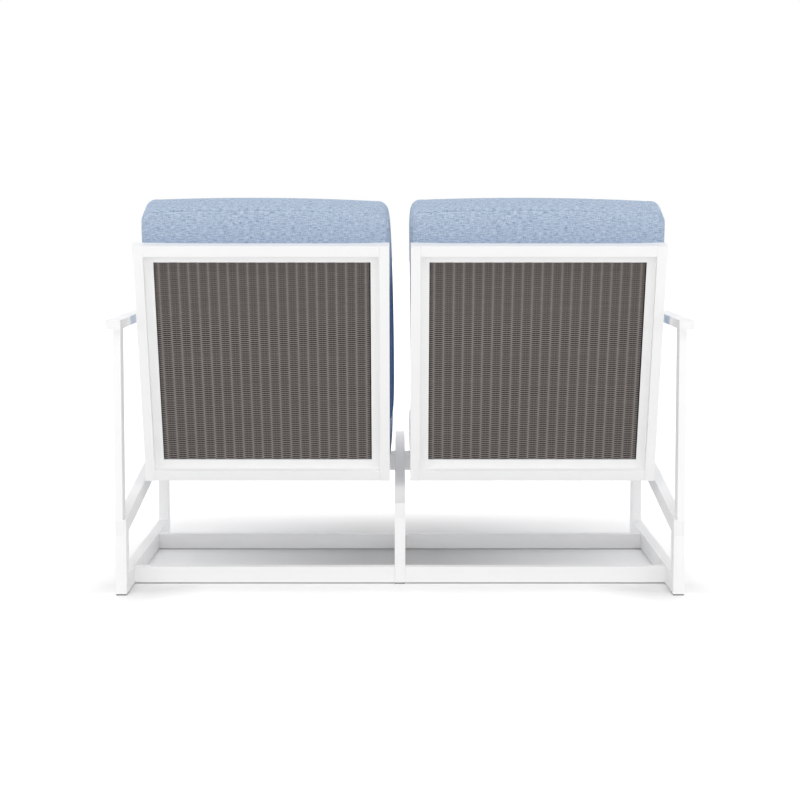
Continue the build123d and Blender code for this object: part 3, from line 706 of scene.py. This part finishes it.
def inflate(obj, form):
    """Fills the cover: the seams are held, the faces between them swell under pressure."""
    scene = bpy.context.scene
    start = coordinates(obj.data)
    group = obj.vertex_groups.new(name="seam")
    held = np.flatnonzero(np.abs(form.past_seam(start)) < scene.bench_cushions.voxel)
    group.add([int(i) for i in held], 1.0, "REPLACE")
    cloth = obj.modifiers.new("filling", "CLOTH")
    for key, value in FILLING.items():
        setattr(cloth.settings, key, value)
    cloth.settings.uniform_pressure_force = scene.bench_cushions.pressure
    cloth.settings.vertex_group_mass = group.name
    cloth.settings.effector_weights.gravity = 0
    cloth.point_cache.frame_start = 1
    cloth.point_cache.frame_end = FILLING_FRAMES
    for number in range(1, FILLING_FRAMES + 1):
        scene.frame_set(number)
    shown = obj.evaluated_get(bpy.context.evaluated_depsgraph_get())
    moved = coordinates(shown.data) - start
    obj.modifiers.remove(cloth)
    obj.vertex_groups.remove(group)
    scene.frame_set(1)
    length = np.linalg.norm(moved, axis=1, keepdims=True)
    moved *= np.minimum(1, form.swell / np.maximum(length, 1e-9))
    set_coordinates(obj.data, start + moved)


def rest_flat(mesh, form):
    """Keeps the first face flat where it lies on what carries it."""
    co = coordinates(mesh)
    lies = co[:, 1] < form.flat_to
    co[lies, 2] = np.maximum(co[lies, 2], 0)
    set_coordinates(mesh, co)


def sew(mesh, form):
    """Draws the cover in along both seams, and marks them for the cloth's finish."""
    cushions = bpy.context.scene.bench_cushions
    co = coordinates(mesh)
    past = form.past_seam(co)
    normals = np.empty(len(mesh.vertices) * 3, np.float32)
    mesh.vertices.foreach_get("normal", normals)
    pull = cushions.seam_deep * np.exp(-(past / cushions.seam_wide) ** 2)
    set_coordinates(mesh, co - normals.reshape(-1, 3) * pull[:, None])
    mark = mesh.attributes.new(SEAM, "FLOAT", "POINT")
    mark.data.foreach_set("value", past.astype(np.float32))


def bow(mesh, form, inner, outer, top, side):
    """Bows the sides and the far end between the corners. Inner and outer are how far each side bows out and
    where along it, from -1 at the near end to 1 at the far end. Side is the one that faces the other seat. Top is
    how far the far end bows out, and it leans by a quarter of that."""
    co = coordinates(mesh)
    middle = (form.near + form.far) / 2
    along = np.clip((co[:, 1] - middle) / (form.far - middle), -1, 1)
    across = np.clip(co[:, 0] / form.half_wide, -1, 1)
    for (amount, peak), facing in ((inner, side), (outer, -side)):
        reach = 1 - ((along - peak) / (1 + abs(peak))) ** 2
        co[:, 0] += facing * amount * np.maximum(across * facing, 0) * reach
    co[:, 1] += np.maximum(along, 0) * (top * (1 - across ** 2) + top / 4 * across)
    set_coordinates(mesh, co)


def paint_cover_shade(mesh, form, open_end, side, rail):
    """Marks where the cover gets painted shade, as if tucked away from the light: deep in the gap between the
    seats, by how far it is from the last face and the open end, and a little on the first face down towards the
    frame's top rail."""
    co = coordinates(mesh)
    end = np.abs(co[:, 1] - open_end)
    depth = np.minimum(form.thick - co[:, 2], end / 3)
    inner = rise(co[:, 0] * side - form.half_wide, -0.016, -0.008)
    gap = inner * rise(depth, 0.03, 0.07)
    # Painted shade low on the first face, towards the top rail
    low = rise(end, 0.015, 0.09) * (1 - rise(co[:, 2] - form.seams[0], 0, 0.01))
    mark = mesh.attributes.new(PAINTED_COVER_SHADE, "FLOAT", "POINT")
    mark.data.foreach_set("value", np.maximum(gap, rail * low).astype(np.float32))


def lay_cloth(mesh, form):
    """Cloth map in metres: one piece of cloth on each face, and a band round the sides, whose places on the map
    are well away from those of the faces."""
    end_band, side_band = 3.0, 5.0
    co = coordinates(mesh)
    normals = np.array([p.normal for p in mesh.polygons])
    centres = np.array([p.center for p in mesh.polygons])
    loops = np.empty(len(mesh.loops), np.int32)
    mesh.loops.foreach_get("vertex_index", loops)
    count = np.empty(len(mesh.polygons), np.int32)
    mesh.polygons.foreach_get("loop_total", count)
    face = np.repeat(np.arange(len(mesh.polygons)), count)
    band = (centres[:, 2] > form.seams[0]) & (centres[:, 2] < form.seams[1]) & (np.abs(normals[:, 2]) < 0.75)
    sideways = np.abs(normals[:, 0]) > np.abs(normals[:, 1])
    at = co[loops]
    uv = at[:, :2].copy()
    on_band = band[face]
    on_side = on_band & sideways[face]
    uv[on_band] = at[on_band][:, [0, 2]] + end_band
    uv[on_side] = at[on_side][:, [1, 2]] + side_band
    layer = mesh.uv_layers.new(name=CLOTH_MAP)
    layer.data.foreach_set("uv", np.ascontiguousarray(uv, np.float32).ravel())


def make_cushion(seat, side, part, form, place, bows, open_end, rail=0.0):
    """Makes one cushion from its form and puts it in its place. Bows are those of its inner side, its outer side
    and its far end."""
    obj = new_object(f"{seat}_{part}_pad", cushion_blank(form))
    bpy.context.view_layer.objects.active = obj
    obj.select_set(True)
    obj.data.remesh_voxel_size = bpy.context.scene.bench_cushions.voxel
    bpy.ops.object.voxel_remesh()
    inflate(obj, form)
    rest_flat(obj.data, form)
    subdivision = obj.modifiers.new("smooth", "SUBSURF")
    subdivision.levels = subdivision.render_levels = 1
    bpy.ops.object.modifier_apply(modifier=subdivision.name)
    obj.select_set(False)
    sew(obj.data, form)
    lay_cloth(obj.data, form)
    paint_cover_shade(obj.data, form, open_end, side, rail)
    bow(obj.data, form, *bows, side)
    obj.data.transform(place)
    obj.data.shade_smooth()
    obj.data.materials.append(cushion_finish())
    declare(obj, seat, f"{part}_cushion")


class BENCH_OT_back_cushions(Operator):
    """Makes the two back cushions"""
    bl_idname = "bench.back_cushions"
    bl_label = "Back cushions"

    def execute(self, context):
        # Half of each one's width, how far it stands aside, and its inner side's bow
        shapes = ((0.315, -0.01, (0.0108, -0.6)), (0.3255, 0.004, (-0.0055, -0.8)))
        for seat, side, (half_wide, aside, inner) in zip(SEATS, INNER_SIDES, shapes):
            form = Form(half_wide, near=-0.178, far=0.414, near_rise=-0.022, thick=0.126, corner=0.026,
                        edges=(0.01, 0.03), swell=0.016, flat_to=0.325)
            place = back_place(seat) @ Matrix.Translation((aside, 0, BACK_FRAME_FRONT))
            # The back cushions get painted shade low on their first face, towards the top rail
            make_cushion(seat, side, "back", form, place, bows=(inner, (0.005, 0), 0.009),
                         open_end=form.far, rail=0.2)
        return {"FINISHED"}


class BENCH_OT_seat_cushions(Operator):
    """Makes the two seat cushions"""
    bl_idname = "bench.seat_cushions"
    bl_label = "Seat cushions"

    def execute(self, context):
        # How far each one stands aside, and its inner side's bow
        shapes = ((-0.0055, (0.003, 0)), (-0.009, (0, 0)))
        for seat, side, (aside, inner) in zip(SEATS, INNER_SIDES, shapes):
            form = Form(half_wide=0.3235, near=-0.245, far=0.347, near_rise=0, thick=0.108, corner=0.032,
                        edges=(0.012, 0.026), swell=0.014, flat_to=1.0)
            place = seat_place(seat) @ Matrix.Translation((aside, 0, DECK_TOP))
            make_cushion(seat, side, "seat", form, place, bows=(inner, (0.003, 0), 0),
                         open_end=form.near)
        return {"FINISHED"}


# Stage
class BENCH_OT_stage(Operator):
    """Sets the floor, the light and the camera"""
    bl_idname = "bench.stage"
    bl_label = "Stage"

    def execute(self, context):
        stage = context.scene.bench_stage
        self.floor(stage)
        self.light(context.scene, stage)
        self.camera(context.scene, stage)
        return {"FINISHED"}

    def floor(self, stage):
        """Pale floor that keeps the bench's shadow, with painted shadow under the bench and round the rear feet,
        and fades to white outside its footprint.
        """
        bm = bmesh.new()
        bmesh.ops.create_grid(bm, x_segments=1, y_segments=1, size=30)
        obj = new_object("floor", bm)
        material, tree, shader = new_material("Studio floor")
        coords = node(tree, "ShaderNodeTexCoord")
        axis = node(tree, "ShaderNodeSeparateXYZ", Vector=coords.outputs["Object"])
        across, depth = calc(tree, "ABSOLUTE", axis.outputs[0]), axis.outputs[1]
        by_leg = calc(tree, "MULTIPLY", mask(tree, across, *LEG_ACROSS), mask(tree, depth, *LEG_DEPTH))
        behind = calc(tree, "SUBTRACT", depth, calc(tree, "MULTIPLY", by_leg, LEG_REACH))
        outside = highest(tree, mask(tree, across, *WHITE_ACROSS), mask(tree, behind, *WHITE_BEHIND),
                          mask(tree, depth, *WHITE_BEFORE))
        # Painted shadow: less glow round the rear feet
        under = calc(tree, "SUBTRACT", FLOOR_GLOW, calc(tree, "MULTIPLY", by_leg, LEG_PAINTED_SHADOW))
        glow = calc(tree, "ADD", calc(tree, "MULTIPLY", outside, WHITE_GLOW), under)
        # Painted shadow under the bench: the floor's colour is darkened where the camera sees it
        in_depth = calc(tree, "MINIMUM", mask(tree, depth, *PAINTED_SHADOW_FRONT), mask(tree, depth, *PAINTED_SHADOW_REAR))
        middle = calc(tree, "MULTIPLY", mask(tree, across, *PAINTED_SHADOW_ACROSS), in_depth)
        seen = seen_directly(tree)
        pale = Vector(stage.floor)
        colour = ramp(tree, calc(tree, "MULTIPLY", seen, middle), [(0, pale), (1, pale * PAINTED_SHADOW_KEPT)])
        feed(tree, shader, Base_Color=colour, Roughness=0.9, Specular_IOR_Level=0.1, Emission_Color=(1, 1, 1, 1),
             Emission_Strength=calc(tree, "MULTIPLY", seen, glow))
        obj.data.materials.append(material)

    def light(self, scene, stage):
        """Soft light from a bright horizon and a paler sky, that looks plain white itself, and two soft suns."""
        world = bpy.data.worlds.new("Studio")
        scene.world = world
        world.use_nodes = True
        tree = world.node_tree
        coords = node(tree, "ShaderNodeTexCoord")
        axis = node(tree, "ShaderNodeSeparateXYZ", Vector=coords.outputs["Generated"])
        sky = node(tree, "ShaderNodeMapRange", Value=calc(tree, "ABSOLUTE", axis.outputs[2]), From_Max=0.4,
                   To_Min=stage.horizon, To_Max=stage.zenith)
        seen = seen_directly(tree)
        lit = calc(tree, "MULTIPLY", calc(tree, "SUBTRACT", 1.0, seen), sky.outputs["Result"])
        feed(tree, tree.nodes["Background"], Color=(1, 1, 1, 1), Strength=calc(tree, "ADD", seen, lit))
        for name, place, spread, power in SUNS:
            data = bpy.data.lights.new(name, "SUN")
            data.angle = radians(spread)
            data.energy = power
            lamp = bpy.data.objects.new(name, data)
            lamp.rotation_euler = (-Vector(place)).to_track_quat("-Z", "Y").to_euler()
            scene.collection.objects.link(lamp)

    def camera(self, scene, stage):
        data = bpy.data.cameras.new("camera")
        data.lens = stage.lens
        data.sensor_width = 36
        data.shift_y = stage.shift
        data.clip_end = 100
        camera = bpy.data.objects.new("camera", data)
        camera.location = (0, stage.camera_back, stage.camera_height)
        camera.rotation_euler = (pi / 2 - stage.camera_pitch, 0, pi)
        scene.collection.objects.link(camera)
        scene.camera = camera
        scene.view_settings.view_transform = "Standard"


class BENCH_PT_sidebar(Panel):
    """Lists the steps that dress the bench"""
    bl_idname = "BENCH_PT_sidebar"
    bl_label = "Outdoor rocking bench"
    bl_space_type = "VIEW_3D"
    bl_region_type = "UI"
    bl_category = "Bench"

    def draw(self, context):
        for step in STEPS:
            self.layout.operator(step.bl_idname)


STEPS = (BENCH_OT_frame_finish, BENCH_OT_woven_panels, BENCH_OT_back_cushions, BENCH_OT_seat_cushions,
         BENCH_OT_stage)
SETTINGS = {"bench_finish": FinishSettings, "bench_weave": WeaveSettings, "bench_cushions": CushionSettings,
            "bench_stage": StageSettings}


def register():
    for settings in SETTINGS.values():
        bpy.utils.register_class(settings)
    for name, settings in SETTINGS.items():
        setattr(bpy.types.Scene, name, PointerProperty(type=settings))
    for step in STEPS:
        bpy.utils.register_class(step)
    bpy.utils.register_class(BENCH_PT_sidebar)


def unregister():
    bpy.utils.unregister_class(BENCH_PT_sidebar)
    for step in reversed(STEPS):
        bpy.utils.unregister_class(step)
    for name in SETTINGS:
        delattr(bpy.types.Scene, name)
    for settings in reversed(SETTINGS.values()):
        bpy.utils.unregister_class(settings)


def main():
    register()
    bpy.ops.bench.frame_finish()
    bpy.ops.bench.woven_panels()
    bpy.ops.bench.back_cushions()
    bpy.ops.bench.seat_cushions()
    bpy.ops.bench.stage()


if __name__ == "__main__":
    main()
